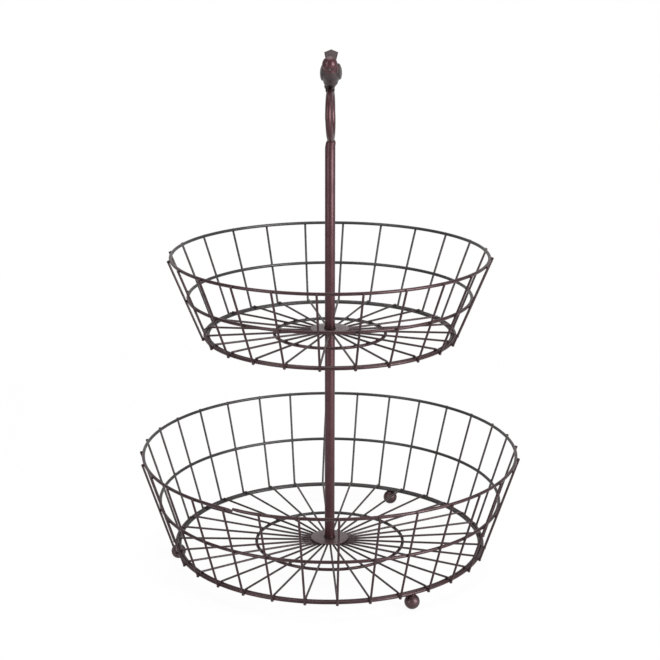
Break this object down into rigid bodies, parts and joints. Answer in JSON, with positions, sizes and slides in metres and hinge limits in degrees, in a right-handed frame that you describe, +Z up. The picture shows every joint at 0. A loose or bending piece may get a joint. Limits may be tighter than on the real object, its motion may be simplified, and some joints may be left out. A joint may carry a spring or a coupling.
{
  "type": "tiered wire basket",
  "caption": "Round wire basket with a wide lower tier and a smaller upper tier on a central pole, with ball feet, a loop handle and a bird on top.",
  "frame": {"origin": "on the table, under the middle of the pole", "axes": "+Z up along the pole, -Y towards the viewer of the picture, which the bird faces, +X to the viewer's right"},
  "size_m": [0.3236, 0.3236, 0.4326],
  "materials": {
    "bronze_coat": "dark reddish bronze metallic powder coat, semi-gloss",
    "plated_steel": "zinc plated threaded parts"
  },
  "bodies": {
    "lower_basket": {"lower_rim_hoop": "bronze_coat", "lower_middle_hoop": "bronze_coat", "lower_bottom_hoop": "bronze_coat", "lower_floor_hoop": "bronze_coat", "lower_inner_hoop": "bronze_coat", "lower_side_wires": "bronze_coat", "lower_floor_spokes": "bronze_coat", "lower_hub_plate": "bronze_coat", "ball_feet": "bronze_coat", "base_screw": "plated_steel", "base_washer": "plated_steel", "lower_pole_washer": "bronze_coat", "lower_pole_tube": "bronze_coat", "lower_pole_foot_insert": "plated_steel", "lower_pole_top_insert": "plated_steel", "joining_stud": "plated_steel"},
    "upper_basket": {"upper_rim_hoop": "bronze_coat", "upper_middle_hoop": "bronze_coat", "upper_bottom_hoop": "bronze_coat", "upper_floor_hoop": "bronze_coat", "upper_inner_hoop": "bronze_coat", "upper_side_wires": "bronze_coat", "upper_floor_spokes": "bronze_coat", "upper_hub_plate": "bronze_coat"},
    "pole_washer": {"upper_pole_washer": "bronze_coat"},
    "upper_pole": {"upper_pole_tube": "bronze_coat", "upper_pole_foot_insert": "plated_steel", "pole_cap": "bronze_coat", "loop_handle": "bronze_coat", "bird_finial": "bronze_coat"}
  },
  "joints": [
    {"name": "upper_basket_turn", "type": "hinge", "parent": "lower_basket", "child": "upper_basket", "pos_m": [0, 0, 0.2025], "axis": [0, 0, 1], "continuous": true},
    {"name": "upper_pole_unscrew", "type": "hinge", "parent": "lower_basket", "child": "pole_washer", "pos_m": [0, 0, 0.2041], "axis": [0, 0, 1], "range_deg": [0, 3960]},
    {"name": "upper_pole_rise", "type": "slide", "parent": "pole_washer", "child": "upper_pole", "axis": [0, 0, 1], "range_m": [0, 0.0077]}
  ],
  "couplings": [
    {"joint": "upper_pole_rise", "follows": "upper_pole_unscrew", "m_per_rad": 0.0001114}
  ]
}
